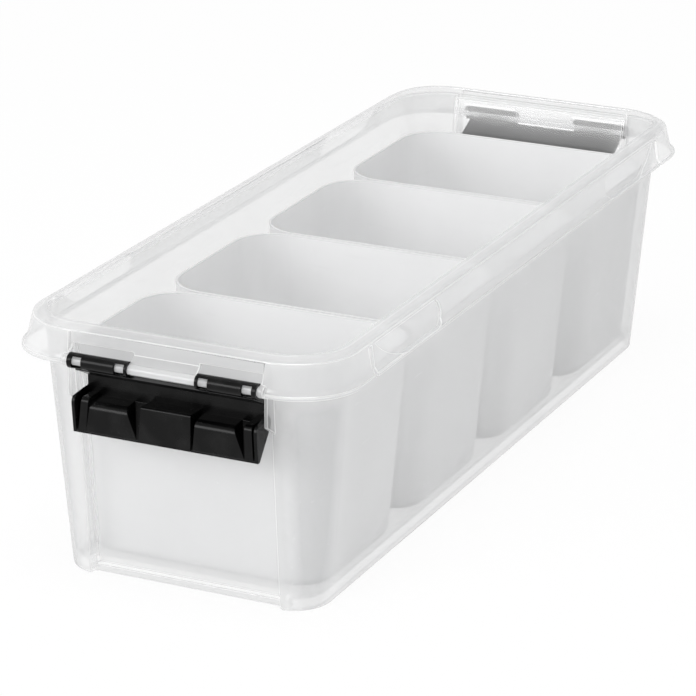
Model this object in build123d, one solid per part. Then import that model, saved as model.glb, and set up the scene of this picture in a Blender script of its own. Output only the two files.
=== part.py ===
"""Long see-through storage box with four lift-out bins and a latch clip at each end.

Millimetres. X runs across the box, Y along it and Z up. The origin is on the floor under
the middle of the box. The front clip is at -Y and the rear clip at +Y. A drop is measured
down from the crest of the box.
"""
from build123d import *
import math
import os

# Box body: half sizes of its outline in plan, with the corner radius at base and crest
BOX_HEIGHT = 140.0
BASE_HALF_WIDTH = 72.3
BASE_HALF_LENGTH = 228.2
BASE_CORNER = 20.6
CREST_HALF_WIDTH = 83.2
CREST_HALF_LENGTH = 240.0
CREST_CORNER = 29.0
BOX_WALL = 2.0
BASE_EDGE_ROUND = 1.6

# Box floor, raised inside a foot ring so that boxes stack
FLOOR_TOP = 8.0
FLOOR_THICK = 2.0
FOOT_WIDTH = 3.4

# Rim: the crest of the wall, its shoulder and the skirt that flares down to a beaded lip
CREST_OUT = 0.6
SHOULDER_OUT = 5.2
SHOULDER_DROP = 2.6
SKIRT_WALL = 1.8
KNEE_OUT = 7.0
KNEE_DROP = 15.0
LIP_OUT = 9.0
LIP_DROP = 17.8
LIP_CORNER_CUT = 5.0
BEAD_HIGH = 1.8
BEAD_PROUD = 0.5

# End panels, pressed in between the corner columns and fading out below the crest
PANEL_HALF_WIDTH = 53.4
PANEL_BASE_DEPTH = 9.0
PANEL_TOP_DEPTH = 6.0
PANEL_TOP_DROP = 30.0
PANEL_FADE_DROP = 6.0
PANEL_FADE_DEPTH = 0.6
PANEL_ROUND = 2.0
PANEL_FOOT_HEIGHT = 4.0
PANEL_FOOT_DEPTH = 4.2

# Apron between the corner skirts of each end, with the hinge rod moulded along its lower edge
ROD_RADIUS = 2.4
ROD_OUT = 7.6
ROD_DROP = 17.2
ROD_BOSS_STEP = 0.65
ROD_BOSS_LENGTH = 3.0
APRON_IN = 2.0
APRON_LEAN = 0.6
APRON_KNEE_DROP = 11.0
APRON_WALL = 1.8
SLOT_DROP = 9.6

# Gussets that carry the ends of each apron, between the skirt and the wall beside the end panel
GUSSET_WALL = 1.8
GUSSET_FRONT_OUT = 4.5
GUSSET_FRONT_DROP = 37.0
GUSSET_FOOT_DROP = 43.0

# Finger windows in the skirt of each long side, and the notch that ends each corner skirt,
# measured in from the ends of the crest
WINDOW_FROM = 47.0
WINDOW_LENGTH = 77.5
WINDOW_SLANT = 28.0
WINDOW_BULGE = 1.6
WINDOW_INNER_ROUND = 6.0
NOTCH_FROM = 40.0
NOTCH_WIDTH = 3.0

# Lift-out bins, with their play inside the box at rim and base
BIN_COUNT = 4
BIN_HEIGHT = 108.3
BIN_SIDE_PLAY = 2.65
BIN_SIDE_CLEARANCE = 0.65
BIN_END_PLAY = 6.7
BIN_GAP = 1.4
BIN_BASE_SIDE_PLAY = 3.3
BIN_BASE_END_PLAY = 1.2
BIN_END_TAPER = 6.6
BIN_TOP_CORNER = 24.0
BIN_BASE_CORNER = 19.0
BIN_WALL = 1.6
BIN_FLOOR = 1.8
BIN_BASE_ROUND = 5.0

# Hooks of a latch clip, which snap round the rod
HOOK_SIDE_PLAY = 0.5
HOOK_SLOT_EDGE = 0.9
HOOK_LENGTH = 33.2
HOOK_WALL = 1.5
HOOK_CLEARANCE = 0.08
HOOK_MOUTH_FROM = -68.0
HOOK_MOUTH_TO = 36.0
HOOK_WINDOW_WIDTH = 5.6
HOOK_WINDOW_HEIGHT = 6.0
HOOK_OUTER_RING = 2.3
HOOK_INNER_RING = 1.4

# Latch clip, hanging open; in is towards the box and down is below the middle of its rod
CLIP_WALL = 1.9
CLIP_WALL_GAP = 0.8
WEB_TOP_IN = 0.85
WEB_ROD_GAP = 0.8
PLATE_SIDE = 3.2
PLATE_STEP = 1.8
PLATE_TOP_DOWN = 9.6
CREASE_DOWN = 16.6
GRIP_SIDE_GAP = 1.0
GRIP_END_WALL = 1.7
GRIP_BACK_DOWN = 20.8
GRIP_SHOULDER_IN = 3.0
GRIP_SHOULDER_DOWN = 19.4
GRIP_SHOULDER_ROUND = 4.5
GRIP_CORNER_DROP = 3.4
GRIP_BOTTOM_IN = 2.9
GRIP_BOTTOM_DOWN = 38.3
GRIP_TIP = 1.0

# Grip pads and ribs on the sloping inner face of the clip
RIB_SIDE_GAP = 1.0
RIB_BASE_WIDTH = 4.4
RIB_TOP_WIDTH = 3.7
RIB_LEAN = 3.1
RIB_TOP_DOWN = 20.5
RIB_TOP_IN = 4.5
RIB_ROUND = 3.0
PAD_GAP = 0.8
OUTER_PAD_LEAN_LEFT = 0.4
OUTER_PAD_LEAN_RIGHT = 7.6
OUTER_PAD_TOP_DOWN = 26.0
OUTER_PAD_TOP_IN = 5.0
OUTER_PAD_TOP_RISE = 2.6
OUTER_PAD_ROUND = 4.5
MIDDLE_PAD_LEAN = 1.4
MIDDLE_PAD_TOP_DOWN = 21.8
MIDDLE_PAD_TOP_IN = 4.3
MIDDLE_PAD_TOP_RISE = 1.2
MIDDLE_PAD_PROUD = 0.7
MIDDLE_PAD_ROUND = 1.2

# What follows from the sizes above
WALL_RISE_WIDTH = (CREST_HALF_WIDTH - BASE_HALF_WIDTH) / BOX_HEIGHT
WALL_RISE_LENGTH = (CREST_HALF_LENGTH - BASE_HALF_LENGTH) / BOX_HEIGHT
SHOULDER_Z = BOX_HEIGHT - SHOULDER_DROP
SKIRT_TOP_Z = SHOULDER_Z - SKIRT_WALL
ROD_Y = CREST_HALF_LENGTH + ROD_OUT
ROD_Z = BOX_HEIGHT - ROD_DROP
HOOK_BORE = ROD_RADIUS + HOOK_CLEARANCE
HOOK_RADIUS = HOOK_BORE + HOOK_WALL
SLOT_OUTER = PANEL_HALF_WIDTH - HOOK_SLOT_EDGE
HOOK_OUTER = SLOT_OUTER - HOOK_SIDE_PLAY
HOOK_INNER = HOOK_OUTER - HOOK_LENGTH
GRIP_HALF_WIDTH = PANEL_HALF_WIDTH - GRIP_SIDE_GAP
PLATE_HALF_WIDTH = GRIP_HALF_WIDTH - PLATE_SIDE
WEB_TOP_DOWN = ROD_RADIUS + WEB_ROD_GAP
CUT = 2 * (BOX_HEIGHT + CREST_HALF_LENGTH)


def outline(half_width, half_length, corner, z):
    """Rounded rectangle at height z."""
    return Plane.XY.offset(z) * RectangleRounded(2 * half_width, 2 * half_length, corner)


def tapered(lower, upper):
    """Solid between two outlines, each given as half width, half length, corner, height."""
    return loft([outline(*lower), outline(*upper)], ruled=True)


def wall_level(z, inset=0.0):
    """Outline of the box wall at height z, moved inwards by inset."""
    corner = BASE_CORNER + (CREST_CORNER - BASE_CORNER) * z / BOX_HEIGHT
    return (BASE_HALF_WIDTH + WALL_RISE_WIDTH * z - inset,
            BASE_HALF_LENGTH + WALL_RISE_LENGTH * z - inset, corner - inset, z)


def rim_level(out, drop, inset=0.0):
    """Outline of the rim at a distance out and a drop from the crest."""
    corner = CREST_CORNER + out - LIP_CORNER_CUT * min(drop / LIP_DROP, 1.0)
    return (CREST_HALF_WIDTH + out - inset, CREST_HALF_LENGTH + out - inset,
            corner - inset, BOX_HEIGHT - drop)


def panel_y(z):
    """Distance of an end panel's outer face from the middle of the box at height z."""
    top = BOX_HEIGHT - PANEL_TOP_DROP
    depth = PANEL_BASE_DEPTH + (PANEL_TOP_DEPTH - PANEL_BASE_DEPTH) * z / top
    return BASE_HALF_LENGTH + WALL_RISE_LENGTH * z - depth


def along_x(points, half_width, middle=0.0):
    """Bar of the given Y-Z outline, from middle - half_width to middle + half_width in X."""
    face = make_face(Polyline(*[(0, y, z) for y, z in points], close=True))
    return Pos(middle - half_width, 0, 0) * extrude(face, amount=2 * half_width, dir=(1, 0, 0))


def across_y(points):
    """Endless bar through Y of the given X-Z outline."""
    face = make_face(Polyline(*[(x, 0, z) for x, z in points], close=True))
    return extrude(face, amount=CUT / 2, dir=(0, 1, 0), both=True)


def round_edge(bar, point, radius):
    """Fillet the edge of a bar along X that passes through a Y-Z point."""
    near = [edge for edge in bar.edges()
            if abs(edge.center().Y - point[0]) < 0.01 and abs(edge.center().Z - point[1]) < 0.01]
    return fillet(near, radius)


def at_both_ends(piece):
    """A piece at +Y together with its copy turned half round to -Y."""
    return [piece, Rot(0, 0, 180) * piece]


def end_recess(extra_depth, half_width, bottom, corner):
    """Space pressed into the +Y end, with its two upright edges rounded."""
    top = BOX_HEIGHT - PANEL_TOP_DROP
    fade = BOX_HEIGHT - PANEL_FADE_DROP
    fade_y = BASE_HALF_LENGTH + WALL_RISE_LENGTH * fade - PANEL_FADE_DEPTH
    points = [(panel_y(bottom) - extra_depth, bottom), (panel_y(top) - extra_depth, top),
              (fade_y - extra_depth, fade), (CUT, fade), (CUT, bottom)]
    block = along_x(points, half_width)
    upright = [edge for edge in block.edges()
               if abs(abs(edge.center().X) - half_width) < 0.01
               and edge.center().Y < CUT / 2 and edge.length > top / 2]
    return fillet(upright, corner)


def foot_recess():
    """Shallower space over the foot of the +Y end, which reaches up into the end recess."""
    foot_y = BASE_HALF_LENGTH - PANEL_FOOT_DEPTH
    top = 3 * PANEL_FOOT_HEIGHT
    block = along_x([(foot_y, 0), (foot_y, top), (CUT, top), (CUT, 0)], PANEL_HALF_WIDTH)
    upright = block.edges().filter_by(Axis.Z).sort_by(Axis.Y)[:2]
    return fillet(upright, PANEL_ROUND)


def make_tub():
    """Drafted wall as a full block, with its base edge rounded and the end panels pressed in."""
    block = tapered(wall_level(0), wall_level(BOX_HEIGHT))
    for space in at_both_ends(foot_recess()):
        block -= space
    block = fillet(block.faces().sort_by(Axis.Z)[0].edges(), BASE_EDGE_ROUND)
    for space in at_both_ends(end_recess(0, PANEL_HALF_WIDTH, PANEL_FOOT_HEIGHT, PANEL_ROUND)):
        block -= space
    return block


def inside_of_wall(inset, bottom, top):
    """Space inside the wall and its end panels, a distance inset from their outer faces."""
    space = tapered(wall_level(bottom, inset), wall_level(top, inset))
    recess = end_recess(inset, PANEL_HALF_WIDTH + inset, bottom, PANEL_ROUND + inset)
    for block in at_both_ends(recess):
        space -= block
    return space


def make_skirt():
    """Rim from its crest over the shoulder and down the flared skirt to the beaded lip."""
    crest = rim_level(CREST_OUT, 0)
    shoulder = rim_level(SHOULDER_OUT, SHOULDER_DROP)
    knee = rim_level(KNEE_OUT, KNEE_DROP)
    lip = rim_level(LIP_OUT, LIP_DROP)
    shape = tapered(shoulder, crest) + tapered(knee, shoulder) + tapered(lip, knee)
    bead_out = LIP_OUT + BEAD_PROUD
    shape += tapered(rim_level(bead_out, LIP_DROP + BEAD_HIGH), rim_level(bead_out, LIP_DROP))
    under = rim_level(SHOULDER_OUT, SHOULDER_DROP + SKIRT_WALL, SKIRT_WALL)
    under_knee = rim_level(KNEE_OUT, KNEE_DROP, SKIRT_WALL)
    under_lip = rim_level(LIP_OUT, LIP_DROP + BEAD_HIGH, SKIRT_WALL)
    shape -= tapered(under_knee, under)
    shape -= tapered(under_lip, under_knee)
    return shape


def window_outline():
    """Finger window in the Y-Z plane: rounded inner end and a bowed slant at its outer end."""
    outer = CREST_HALF_LENGTH - WINDOW_FROM
    inner = outer - WINDOW_LENGTH
    foot = outer - WINDOW_SLANT
    low = BOX_HEIGHT - LIP_DROP
    high = SKIRT_TOP_Z
    bow = ((outer + foot) / 2 + WINDOW_BULGE, (low + high) / 2 - WINDOW_BULGE)
    path = ThreePointArc((0, foot, low), (0, *bow), (0, outer, high))
    path += Line((0, outer, high), (0, inner + WINDOW_INNER_ROUND, high))
    path += ThreePointArc((0, inner + WINDOW_INNER_ROUND, high), (0, inner, (low + high) / 2),
                          (0, inner + WINDOW_INNER_ROUND, low))
    path += Line((0, inner + WINDOW_INNER_ROUND, low), (0, foot, low))
    return make_face(path)


def make_side_openings():
    """Window and notch of one quarter of the skirt, mirrored to all four."""
    inner = CREST_HALF_WIDTH + CREST_OUT
    window = Pos(inner, 0, 0) * extrude(window_outline(), amount=2 * LIP_OUT, dir=(1, 0, 0))
    notch_outer = CREST_HALF_LENGTH - NOTCH_FROM
    notch_inner = notch_outer - NOTCH_WIDTH
    notch = along_x([(notch_inner, SKIRT_TOP_Z), (notch_outer, SKIRT_TOP_Z),
                     (notch_outer, 0), (notch_inner, 0)], LIP_OUT, inner + LIP_OUT)
    half = [window, notch, mirror(window, Plane.YZ), mirror(notch, Plane.YZ)]
    return half + [mirror(piece, Plane.XZ) for piece in half]


def make_end_apron():
    """Apron and moulded hinge rod at the +Y end, with a slot over each hook of the clip."""
    top = CREST_HALF_LENGTH + SHOULDER_OUT - APRON_IN
    knee = BOX_HEIGHT - APRON_KNEE_DROP
    points = [(top, SHOULDER_Z), (top + APRON_LEAN, knee),
              (ROD_Y + ROD_RADIUS * 0.6, ROD_Z + ROD_RADIUS * 0.7),
              (ROD_Y - ROD_RADIUS * 0.8, ROD_Z + ROD_RADIUS * 0.2),
              (top + APRON_LEAN - APRON_WALL, knee - APRON_WALL / 3),
              (top - APRON_WALL, SHOULDER_Z)]
    apron = along_x(points, PANEL_HALF_WIDTH)
    slot_z = BOX_HEIGHT - SLOT_DROP
    slot_inner = HOOK_INNER - HOOK_SIDE_PLAY
    slot_half = (SLOT_OUTER - slot_inner) / 2
    slot = [(0, 0), (0, slot_z), (CUT, slot_z), (CUT, 0)]
    along_rod = Pos(0, ROD_Y, ROD_Z) * Rot(0, 90, 0)
    boss = along_rod * Cylinder(ROD_RADIUS + ROD_BOSS_STEP, ROD_BOSS_LENGTH)
    for side in (-1, 1):
        apron -= along_x(slot, slot_half, side * (slot_inner + slot_half))
        apron += Pos(side * (SLOT_OUTER + ROD_BOSS_LENGTH / 2), 0, 0) * boss
    return apron + along_rod * Cylinder(ROD_RADIUS, 2 * PANEL_HALF_WIDTH)


def make_gussets():
    """Gussets at both sides of the +Y end, from the skirt down to the wall."""
    front = CREST_HALF_LENGTH + GUSSET_FRONT_OUT
    skirt = SKIRT_WALL / 2
    lip_z = BOX_HEIGHT - LIP_DROP

    def in_wall(drop):
        """Middle of the wall's thickness at a drop from the crest."""
        z = BOX_HEIGHT - drop
        return (BASE_HALF_LENGTH + WALL_RISE_LENGTH * z - BOX_WALL / 2, z)

    points = [in_wall(GUSSET_FOOT_DROP), (front, BOX_HEIGHT - GUSSET_FRONT_DROP), (front, lip_z),
              (CREST_HALF_LENGTH + KNEE_OUT - skirt, BOX_HEIGHT - KNEE_DROP),
              (CREST_HALF_LENGTH + SHOULDER_OUT - skirt, SHOULDER_Z - skirt),
              in_wall(SHOULDER_DROP + skirt)]
    middle = PANEL_HALF_WIDTH + GUSSET_WALL / 2
    return [along_x(points, GUSSET_WALL / 2, side * middle) for side in (-1, 1)]


def make_box_body():
    """The see-through box in one piece."""
    skirt = make_skirt()
    ledge_y = CREST_HALF_LENGTH + CREST_OUT
    ledge_z = SHOULDER_Z - SKIRT_WALL / 4
    gap = [(ledge_y, 0), (ledge_y, SKIRT_TOP_Z),
           (CREST_HALF_LENGTH + SHOULDER_OUT - APRON_IN, ledge_z), (CUT, ledge_z), (CUT, 0)]
    for block in at_both_ends(along_x(gap, PANEL_HALF_WIDTH)):
        skirt -= block
    for opening in make_side_openings():
        skirt -= opening
    body = make_tub() + skirt
    for piece in [make_end_apron()] + make_gussets():
        for placed in at_both_ends(piece):
            body += placed
    body -= inside_of_wall(BOX_WALL, FLOOR_TOP, BOX_HEIGHT)
    return body - inside_of_wall(FOOT_WIDTH, 0, FLOOR_TOP - FLOOR_THICK)


def bin_levels():
    """Pitch of the bins, and one bin's base and rim as half width, half length, corner, height.

    The row of bins fits between the end panels at its rims and at its bases.
    """
    top = FLOOR_TOP + BIN_HEIGHT
    rim_row = panel_y(top) - BOX_WALL - BIN_END_PLAY
    base_row = panel_y(FLOOR_TOP) - BOX_WALL - BIN_BASE_END_PLAY
    row = min(rim_row, base_row + BIN_END_TAPER)
    pitch = (2 * row + BIN_GAP) / BIN_COUNT
    half_length = (pitch - BIN_GAP) / 2
    rim = (wall_level(top, BOX_WALL)[0] - BIN_SIDE_PLAY, half_length, BIN_TOP_CORNER, top)
    base = (wall_level(FLOOR_TOP, BOX_WALL)[0] - BIN_BASE_SIDE_PLAY,
            half_length - BIN_END_TAPER, BIN_BASE_CORNER, FLOOR_TOP)
    return pitch, base, rim


def make_bin(base, rim):
    """One open-top bin, standing at the middle of the box floor."""
    shell = tapered(base, rim)
    shell = fillet(shell.faces().sort_by(Axis.Z)[0].edges(), BIN_BASE_ROUND)
    share = BIN_FLOOR / BIN_HEIGHT
    inner_base = [low + (high - low) * share - BIN_WALL for low, high in zip(base[:3], rim[:3])]
    inner_rim = [size - BIN_WALL for size in rim[:3]]
    space = tapered((*inner_base, base[3] + BIN_FLOOR), (*inner_rim, rim[3]))
    space = fillet(space.faces().sort_by(Axis.Z)[0].edges(), BIN_BASE_ROUND - BIN_WALL / 2)
    return shell - space


def make_hook(side):
    """One hook of the clip: a C round the rod with two see-through windows."""
    reach = 3 * HOOK_RADIUS
    start = math.radians(HOOK_MOUTH_FROM)
    end = math.radians(HOOK_MOUTH_TO)
    corners = [(reach * math.cos(turn), reach * math.sin(turn))
               for turn in (start, (start + end) / 2, end)]
    middle = side * (HOOK_INNER + HOOK_LENGTH / 2)
    ring = Cylinder(HOOK_RADIUS, HOOK_LENGTH) - Cylinder(HOOK_BORE, HOOK_LENGTH)
    hook = Pos(middle, 0, 0) * Rot(0, 90, 0) * ring
    hook -= along_x([(0, 0)] + corners, HOOK_LENGTH, middle)
    window = Box(HOOK_WINDOW_WIDTH, 2 * HOOK_RADIUS, HOOK_WINDOW_HEIGHT)
    for at in (HOOK_OUTER - HOOK_OUTER_RING - HOOK_WINDOW_WIDTH / 2,
               HOOK_INNER + HOOK_INNER_RING + HOOK_WINDOW_WIDTH / 2):
        hook -= Pos(side * at, -HOOK_RADIUS, 0) * window
    return hook


def clip_places():
    """Distances in of the plate and of the grip's back, which clears the end panel."""
    back = ROD_Y - panel_y(ROD_Z - GRIP_BACK_DOWN) - CLIP_WALL_GAP
    return back - PLATE_STEP - CLIP_WALL, back


def make_web_and_plate(plate):
    """Bent sheet from under the rod in to the plate and down to the crease."""
    run = plate - WEB_TOP_IN
    drop = PLATE_TOP_DOWN - WEB_TOP_DOWN
    reach = math.hypot(run, drop)
    across = (-CLIP_WALL * drop / reach, -CLIP_WALL * run / reach)
    points = [(WEB_TOP_IN, -WEB_TOP_DOWN), (plate + CLIP_WALL, -PLATE_TOP_DOWN),
              (plate + CLIP_WALL, -CREASE_DOWN), (plate, -CREASE_DOWN),
              (plate, -PLATE_TOP_DOWN + across[1]),
              (WEB_TOP_IN + across[0], -WEB_TOP_DOWN + across[1])]
    return along_x(points, PLATE_HALF_WIDTH)


def make_grip(plate, back):
    """Sloping lower part of the clip, with an upright wall at each end and its corners cut."""
    bottom = -GRIP_BOTTOM_DOWN
    outside = [(plate, -CREASE_DOWN), (plate + CLIP_WALL, -CREASE_DOWN + CLIP_WALL / 3),
               (back, -GRIP_BACK_DOWN), (back - CLIP_WALL / 8, -GRIP_BACK_DOWN - CLIP_WALL),
               (GRIP_BOTTOM_IN + CLIP_WALL, bottom), (GRIP_BOTTOM_IN, bottom)]
    inside = [(GRIP_BOTTOM_IN, bottom + GRIP_TIP),
              (back - CLIP_WALL, -GRIP_BACK_DOWN - CLIP_WALL / 2),
              (back - CLIP_WALL, -GRIP_BACK_DOWN)]
    grip = along_x(outside + inside, GRIP_HALF_WIDTH)
    shoulder = (GRIP_SHOULDER_IN, -GRIP_SHOULDER_DOWN)
    for side in (-1, 1):
        wall = along_x(outside + [shoulder], GRIP_END_WALL / 2,
                       side * (GRIP_HALF_WIDTH - GRIP_END_WALL / 2))
        grip += round_edge(wall, shoulder, GRIP_SHOULDER_ROUND)
    corner_z = -CREASE_DOWN - GRIP_CORNER_DROP
    half = [(PLATE_HALF_WIDTH, 0), (PLATE_HALF_WIDTH, -CREASE_DOWN),
            (GRIP_HALF_WIDTH, corner_z), (GRIP_HALF_WIDTH, bottom)]
    return grip & across_y(half + [(-x, z) for x, z in reversed(half)])


def on_slope(back, front, rise, top_in, top_down, outline_points, edge_round):
    """Raised piece on the grip's slope: a side profile met by an outline seen from the front."""
    bottom = -GRIP_BOTTOM_DOWN + CLIP_WALL / 4
    inner = back - CLIP_WALL / 2
    profile = [(GRIP_BOTTOM_IN - front, bottom), (top_in, -top_down),
               (inner, -top_down + rise), (GRIP_BOTTOM_IN + CLIP_WALL / 2, bottom)]
    bar = round_edge(along_x(profile, GRIP_HALF_WIDTH), profile[1], edge_round)
    return bar & across_y(outline_points)


def make_pads_and_ribs(back):
    """Three grip pads between two ribs that lean outwards at their feet."""
    bottom = -GRIP_BOTTOM_DOWN
    rib_foot = GRIP_HALF_WIDTH - GRIP_END_WALL - RIB_SIDE_GAP
    pads_half = rib_foot - RIB_BASE_WIDTH
    pad_half = (pads_half - PAD_GAP) / 3
    pieces = []
    for side in (-1, 1):
        rib = [(side * rib_foot, bottom), (side * (rib_foot - RIB_BASE_WIDTH), bottom),
               (side * (rib_foot - RIB_LEAN - RIB_TOP_WIDTH), 0),
               (side * (rib_foot - RIB_LEAN), 0)]
        pieces.append(on_slope(back, 0, 0, RIB_TOP_IN, RIB_TOP_DOWN, rib, RIB_ROUND))
        middle = side * (pads_half - pad_half)
        top = -OUTER_PAD_TOP_DOWN
        left = middle - pad_half + OUTER_PAD_LEAN_LEFT
        right = middle + pad_half - OUTER_PAD_LEAN_RIGHT
        pad = [(middle - pad_half, bottom), (left, top), (left, 0), (right, 0), (right, top),
               (middle + pad_half, bottom)]
        pieces.append(on_slope(back, 0, OUTER_PAD_TOP_RISE, OUTER_PAD_TOP_IN,
                               OUTER_PAD_TOP_DOWN, pad, OUTER_PAD_ROUND))
    pad = [(-pad_half, bottom), (pad_half, bottom), (pad_half - MIDDLE_PAD_LEAN, 0),
           (MIDDLE_PAD_LEAN - pad_half, 0)]
    pieces.append(on_slope(back, MIDDLE_PAD_PROUD, MIDDLE_PAD_TOP_RISE, MIDDLE_PAD_TOP_IN,
                           MIDDLE_PAD_TOP_DOWN, pad, MIDDLE_PAD_ROUND))
    return pieces


def make_clip():
    """Latch clip hanging open, with its rod through the origin and the box on its +Y side."""
    plate, back = clip_places()
    clip = make_web_and_plate(plate) + make_grip(plate, back)
    for side in (-1, 1):
        clip += make_hook(side)
    for piece in make_pads_and_ribs(back):
        clip += piece
    return clip


def write(piece, name):
    """Save one node."""
    export_step(piece, os.path.join("parts", name + ".step"))


def main():
    """Build every node in its place."""
    os.makedirs("parts", exist_ok=True)
    write(make_box_body(), "box_body")
    front_clip = Pos(0, -ROD_Y, ROD_Z) * make_clip()
    write(front_clip, "front_clip")
    write(Rot(0, 0, 180) * front_clip, "rear_clip")
    pitch, base, rim = bin_levels()
    middle_bin = make_bin(base, rim)
    to_side = BIN_SIDE_PLAY - BIN_SIDE_CLEARANCE
    for number in range(BIN_COUNT):
        at = (number - (BIN_COUNT - 1) / 2) * pitch
        write(Pos(to_side, at, 0) * middle_bin, f"bin_{number + 1}")


main()
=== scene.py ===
"""Looks of a long see-through storage box with four white lift-out bins and two black clips.

Every object is in metres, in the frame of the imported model: the origin is on the floor under
the middle of the box, X runs across it, Y along it and Z up. Sizes in the classes are in
millimetres, as on a maker's drawing, and become metres where a mesh or a node is written.
"""

import logging
import math
from collections.abc import Callable
from dataclasses import dataclass, field
from enum import Enum

import bmesh
import bpy
from mathutils import Matrix, Vector


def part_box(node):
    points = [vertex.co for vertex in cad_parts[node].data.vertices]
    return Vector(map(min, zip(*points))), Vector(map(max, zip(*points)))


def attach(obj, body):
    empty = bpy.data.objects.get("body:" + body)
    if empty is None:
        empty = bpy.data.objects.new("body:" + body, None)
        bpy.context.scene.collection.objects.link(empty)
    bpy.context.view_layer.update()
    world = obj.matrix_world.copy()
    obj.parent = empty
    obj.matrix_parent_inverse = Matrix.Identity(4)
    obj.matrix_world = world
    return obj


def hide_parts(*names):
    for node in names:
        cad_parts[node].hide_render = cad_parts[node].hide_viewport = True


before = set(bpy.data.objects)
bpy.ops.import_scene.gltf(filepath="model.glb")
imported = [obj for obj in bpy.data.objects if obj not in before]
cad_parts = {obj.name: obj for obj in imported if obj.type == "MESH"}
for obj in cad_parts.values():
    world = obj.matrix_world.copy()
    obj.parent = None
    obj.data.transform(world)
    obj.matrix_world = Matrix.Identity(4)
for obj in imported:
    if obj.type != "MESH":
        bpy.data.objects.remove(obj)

LOG = logging.getLogger("storage_box")
MM = 0.001
SAME_POINT = 0.001 * MM
CORNER_STEPS = 6
ROUND_SEGMENTS = 2
BIN_COUNT = 4
WHITE = (1.0, 1.0, 1.0, 1.0)
PHOTO_WIDTH = 696
Point = tuple[float, float]
Triple = tuple[float, float, float]


class ClipEnd(Enum):
    """The end of the box that a latch clip hangs on, with its quarter turns about Z."""

    FRONT = 0
    REAR = 2

    @property
    def node(self) -> str:
        """Name of the CAD node and body of this clip."""
        return f"{self.name.lower()}_clip"


class Slot(Enum):
    """Names of material slots; nothing in this script uses them."""

    CLEAR_BOX = "clear_box"
    BLACK_CLIP = "black_clip"
    WHITE_BIN = "white_bin"


class BoxFace(Enum):
    """Kinds of faces on the see-through box, with the place of each one's finish."""

    OUTER = 0
    INNER = 1
    # Rounded edges, which take the painted edge highlight.
    EDGE = 2


def operator(operation: str, reflected: bool = False) -> Callable[["Value", object], "Value"]:
    """Makes the method behind one Python operator of Value.

    Args:
        operation: Operation of the Math node.
        reflected: Whether the other side comes first.

    Returns:
        The method.
    """
    def apply(value: "Value", other: object) -> "Value":
        """Adds the Math node of the operator."""
        sides = {0: other, 1: value} if reflected else {0: value, 1: other}
        return value.graph.node("ShaderNodeMath", {"operation": operation}, sides)

    return apply


class Value:
    """Output of a node, which takes part in Python sums that add the Math nodes."""

    __add__ = __radd__ = operator("ADD")
    __sub__ = operator("SUBTRACT")
    __rsub__ = operator("SUBTRACT", True)
    __mul__ = __rmul__ = operator("MULTIPLY")
    __truediv__ = operator("DIVIDE")
    __rtruediv__ = operator("DIVIDE", True)
    __lt__ = operator("LESS_THAN")
    __gt__ = operator("GREATER_THAN")

    def __init__(self, graph: "Graph", socket: bpy.types.NodeSocket) -> None:
        """Keeps the socket and the graph that it belongs to."""
        self.graph = graph
        self.socket = socket

    def also(self, name: str) -> "Value":
        """Another output of the same node."""
        return Value(self.graph, self.socket.node.outputs[name])

    def call(self, operation: str, second: object = 0.0) -> "Value":
        """Any other Math operation on this and a second value."""
        return operator(operation)(self, second)


@dataclass(frozen=True)
class Pattern:
    """Cloudy pattern, with the size of one cloud in millimetres and its finer octaves.

    It repeats that many times along each axis for once of the plain pattern.
    """

    size: float
    detail: float
    repeats: Triple = (1.0, 1.0, 1.0)


class Graph:
    """A shader or geometry node tree that is written one node at a time."""

    def __init__(self, tree: bpy.types.NodeTree) -> None:
        """Starts from an empty tree."""
        self.tree = tree
        tree.nodes.clear()

    def node(self, kind: str, settings: dict | None = None, inputs: dict | None = None,
             output: str | int = 0) -> Value:
        """Adds one node.

        Args:
            kind: Type of the node.
            settings: Properties of the node, set before its sockets.
            inputs: Number, vector or Value for each socket, by name or place.
            output: Name or place of the output that is wanted.

        Returns:
            The wanted output, or the node's first input where it has no output.
        """
        made = self.tree.nodes.new(kind)
        for name, setting in (settings or {}).items():
            setattr(made, name, setting)
        for place, value in (inputs or {}).items():
            if isinstance(value, Value):
                self.tree.links.new(value.socket, made.inputs[place])
            else:
                made.inputs[place].default_value = value
        return Value(self, made.outputs[output] if made.outputs else made.inputs[0])

    def split(self, vector: Value) -> tuple[Value, Value, Value]:
        """Parts X, Y and Z of a vector."""
        part = self.node("ShaderNodeSeparateXYZ", None, {0: vector})
        return part, part.also("Y"), part.also("Z")

    def join(self, x: object, y: object = 0.0, z: object = 0.0) -> Value:
        """Vector with the parts X, Y and Z."""
        return self.node("ShaderNodeCombineXYZ", None, {0: x, 1: y, 2: z})

    def band(self, value: Value, ends: Point, unit: float = 1.0) -> Value:
        """Smooth step from 0 at the first end to 1 at the second, which are in that unit."""
        return self.node("ShaderNodeMapRange", {"interpolation_type": "SMOOTHSTEP"},
                         {"Value": value, "From Min": ends[0] * unit, "From Max": ends[1] * unit})

    def blend(self, mask: Value, low: Triple, high: Triple) -> Value:
        """Colour that goes from low to high as the mask goes from 0 to 1."""
        return self.node("ShaderNodeMix", {"data_type": "RGBA"},
                         {0: mask, 6: (*low, 1.0), 7: (*high, 1.0)}, output=2)

    def mix(self, factor: Value | float, first: Value, second: Value) -> Value:
        """Shader that goes from first to second as the factor goes from 0 to 1."""
        return self.node("ShaderNodeMixShader", None, {0: factor, 1: first, 2: second})

    def noise(self, coords: Value, pattern: Pattern) -> Value:
        """Adds a cloudy pattern.

        Args:
            coords: Object coordinates.
            pattern: Sizes of the pattern.

        Returns:
            Level of the pattern from 0 to 1.
        """
        placed = self.node("ShaderNodeMapping", None,
                           {"Vector": coords, "Scale": pattern.repeats})
        scale = 1.0 / (pattern.size * MM)
        return self.node("ShaderNodeTexNoise", None,
                         {"Vector": placed, "Scale": scale, "Detail": pattern.detail})


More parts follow.
